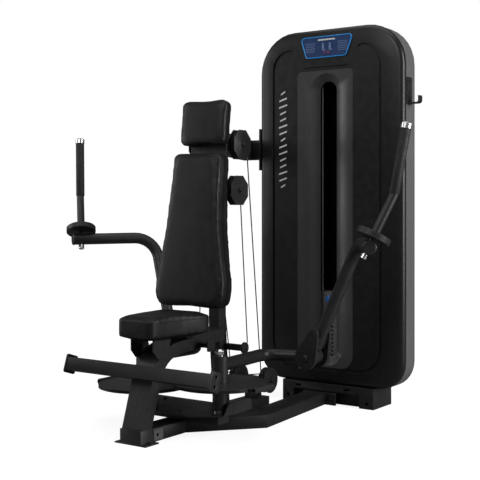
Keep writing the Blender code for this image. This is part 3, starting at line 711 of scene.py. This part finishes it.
def bolt_rows():
    """(name, place, axis, radius) of the fasteners that show."""
    flange_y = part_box("side_tube")[1].y - 0.010
    yield "flange_bolt", (0.238, flange_y, 0.027), (0, -1, 0), SMALL_BOLT
    low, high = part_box("foot_block")
    for i, x in enumerate((low.x + 0.012, high.x - 0.012)):
        yield f"foot_bolt_{i}", (x, low.y + 0.045, 0.005), (0, 0, 1), SMALL_BOLT
    for i, (y, z) in enumerate(((0.785, 1.060), (0.825, 1.060), (0.785, 1.200), (0.825, 1.200))):
        yield f"beam_bolt_{i}", (-0.1480, y, z), (-1, 0, 0), 0.0065
    for name, sign in SIDES:
        for level in ("upper", "middle", "lower"):
            hub = centre(f"{name}_{level}_pulley")
            yield f"{name}_{level}_axle_bolt", hub + Vector((sign * 0.0200, 0, 0)), (sign, 0, 0), 0.0060
    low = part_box("deck_plate")[0]
    for i, (x, y) in enumerate(((-0.15, 0.09), (0.15, 0.09), (-0.06, -0.08), (0.06, -0.08))):
        yield f"deck_bolt_{i}", (x, y, low.z + 0.006), (0, 0, 1), SMALL_BOLT
    low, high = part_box("towel_hook")
    for i, z in enumerate((high.z - 0.016, high.z - 0.060)):
        yield f"hook_screw_{i}", (low.x + 0.004, low.y + 0.023, z), (1, 0, 0), 0.0040
    low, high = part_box("rear_shell")
    inner_low, inner_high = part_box("tower_frame")
    for i in range(4):
        for side, x in enumerate((inner_low.x, inner_high.x)):
            z = low.z + 0.22 + i * (high.z - low.z - 0.44) / 3
            yield f"shell_screw_{i}_{side}", (x, high.y, z), (0, 1, 0), 0.0042


def build_guide_plate():
    """Small two-hole plate beside the seat rail, where the cable is led to the cam."""
    x = 0.104
    corner = 0.008
    centres = ((0.038, 0.316, 180), (0.070, 0.316, 270), (0.070, 0.344, 0), (0.038, 0.344, 90))
    outline = []
    for y, z, turn in centres:
        for k in range(7):
            a = math.radians(turn + 15 * k)
            outline.append((x, y + corner * math.cos(a), z + corner * math.sin(a)))
    piece("guide_plate", slab(outline, 0.005, (1, 0, 0)), "paint", "frame")
    for i, y in enumerate((0.043, 0.066)):
        hole = lathe([(0, 0.0055), (0.0004, 0.0055)], (x + 0.005, y, 0.333), (1, 0, 0), 20)
        piece(f"guide_plate_hole_{i}", hole, "rubber", "frame")
    arm = slab(plate_outline(0.046, x, 0.322, 0.338, 0.040), 0.028, (0, 1, 0))
    piece("guide_plate_arm", arm, "paint", "frame")


def build_slot_shade_sheet():
    """Near-black sheet behind the weight stack, a painted shade, so that the slot reads as a deep well."""
    low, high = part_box("tower_frame")
    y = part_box("lower_weight_plates")[1].y + 0.004
    outline = plate_outline(low.x + WINDOW, high.x - WINDOW, low.z + 2 * WINDOW, high.z - 2 * WINDOW, y)
    piece("slot_shade_sheet", slab(outline, 0.001, (0, -1, 0), 0.0003), "painted_shade", "frame")


def build_joint_plate():
    """Bolted cheek where the spine tube meets the foot block."""
    low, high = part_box("spine_tube")
    y0 = low.y + 0.002
    y1 = low.y + 0.055
    outline = [(high.x, y0, 0.006), (high.x, y1, 0.006), (high.x, y1, 0.046), (high.x, y0, 0.046)]
    piece("joint_plate", slab(outline, 0.004, (1, 0, 0)), "side", "frame")
    # The hole is a near-black disc on the cheek: painted shade standing in for the dark inside of a hole.
    hole = lathe([(0, 0.0060), (0.0003, 0.0060)], (high.x + 0.004, low.y + 0.022, 0.026), (1, 0, 0), 20)
    piece("joint_plate_hole_shade", hole, "painted_shade", "frame")


def build_rear_details():
    """Shallow ribs on the tower's back."""
    low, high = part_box("rear_shell")
    for i in range(5):
        z = low.z + 0.45 + i * 0.16
        path = [(low.x + 0.16, high.y - 0.001, z), (high.x - 0.16, high.y - 0.001, z)]
        tube(f"rear_rib_{i}", path, 0.005, "side", "frame")


# -------------------------------------------------------------------- stage

FILL = 0.11                     # world light on the object
CAMERA_PLACE = (2.4226, -3.0583, 0.88)
CAMERA_SHIFT = -0.075           # lowers the view without tilting the camera
FLOOR_GLOW = 0.87               # floor's own brightness to the camera, near the object

def area_light(name, place, target, size, power):
    """Rectangular soft light at place, facing target."""
    data = bpy.data.lights.new(name, "AREA")
    data.shape = "RECTANGLE"
    data.size = size[0]
    data.size_y = size[1]
    data.energy = power
    light = bpy.data.objects.new(name, data)
    light.location = place
    light.rotation_euler = (Vector(target) - Vector(place)).to_track_quat("-Z", "Y").to_euler()
    bpy.context.scene.collection.objects.link(light)


def build_world():
    """White backdrop for the camera, with a dim fill on the object."""
    world = bpy.data.worlds.new("studio")
    bpy.context.scene.world = world
    world.use_nodes = True
    tree = world.node_tree
    background = tree.nodes["Background"]
    background.inputs["Color"].default_value = (1, 1, 1, 1)
    seen = tree.nodes.new("ShaderNodeLightPath").outputs["Is Camera Ray"]
    strength = tree.nodes.new("ShaderNodeMapRange")
    strength.inputs["To Min"].default_value = FILL
    strength.inputs["To Max"].default_value = 1.0
    tree.links.new(seen, strength.inputs["Value"])
    tree.links.new(strength.outputs["Result"], background.inputs["Strength"])


def fade_out(paper):
    """Glow for the camera only, growing with distance so that the floor has no horizon."""
    reach = paper.node("ShaderNodeVectorMath", operation="LENGTH")
    paper.link(paper.coords, reach.inputs[0])
    glow = paper.node("ShaderNodeMapRange")
    glow.inputs["From Min"].default_value = 0.8
    glow.inputs["From Max"].default_value = 4.0
    glow.inputs["To Min"].default_value = FLOOR_GLOW
    glow.inputs["To Max"].default_value = 1.0
    paper.link(reach.outputs["Value"], glow.inputs["Value"])
    seen = paper.node("ShaderNodeLightPath").outputs["Is Camera Ray"]
    made = paper.node("ShaderNodeMath", operation="MULTIPLY")
    paper.link(glow.outputs["Result"], made.inputs[0])
    paper.link(seen, made.inputs[1])
    return made.outputs["Value"]


def build_stage():
    """Floor, backdrop, lights and camera."""
    bm = bmesh.new()
    bmesh.ops.create_grid(bm, x_segments=1, y_segments=1, size=30)
    floor = piece("floor", bm, "vinyl", None)
    paper = Shader("pale_floor", roughness=0.9)
    paper.color(paper.mix(paper.noise(2), (0.24, 0.24, 0.24), (0.27, 0.27, 0.27)))
    paper.out.inputs["Emission Color"].default_value = (1, 1, 1, 1)
    paper.link(fade_out(paper), paper.out.inputs["Emission Strength"])
    floor.data.materials[0] = paper.mat
    floor.location.z = -0.0005
    build_world()
    target = (0.1, 0.2, 0.7)
    area_light("key", (0.2, -3.4, 3.2), target, (2.4, 1.6), 52)
    area_light("left_box", (-3.2, -1.2, 1.6), target, (1.2, 2.6), 38)
    area_light("right_box", (3.4, 0.8, 1.5), target, (1.0, 2.6), 95)
    area_light("top_box", (0.2, 0.2, 3.6), target, (2.6, 2.6), 30)

    data = bpy.data.cameras.new("camera")
    data.lens = 75
    data.sensor_width = 36
    data.shift_y = CAMERA_SHIFT
    camera = bpy.data.objects.new("camera", data)
    camera.location = CAMERA_PLACE
    camera.rotation_euler = (math.radians(90), 0, math.radians(35))
    bpy.context.scene.collection.objects.link(camera)
    bpy.context.scene.camera = camera
    bpy.context.scene.view_settings.view_transform = "Standard"


def main():
    """Builds every visible piece, then the stage."""
    slots = {part["node"]: part["material_slot"] for part in frame["record"]["subparts"]}
    build_cushions()
    build_placard()
    for name, obj in NODES.items():
        finish_cad(name, obj, slots[name])
    build_panel_graphic()
    build_cables()
    build_pivots()
    build_guide_plate()
    build_rear_details()
    build_slot_shade_sheet()
    build_joint_plate()
    for name, place, axis, radius in bolt_rows():
        bolt(name, place, axis, radius, "frame")
    build_stage()


main()
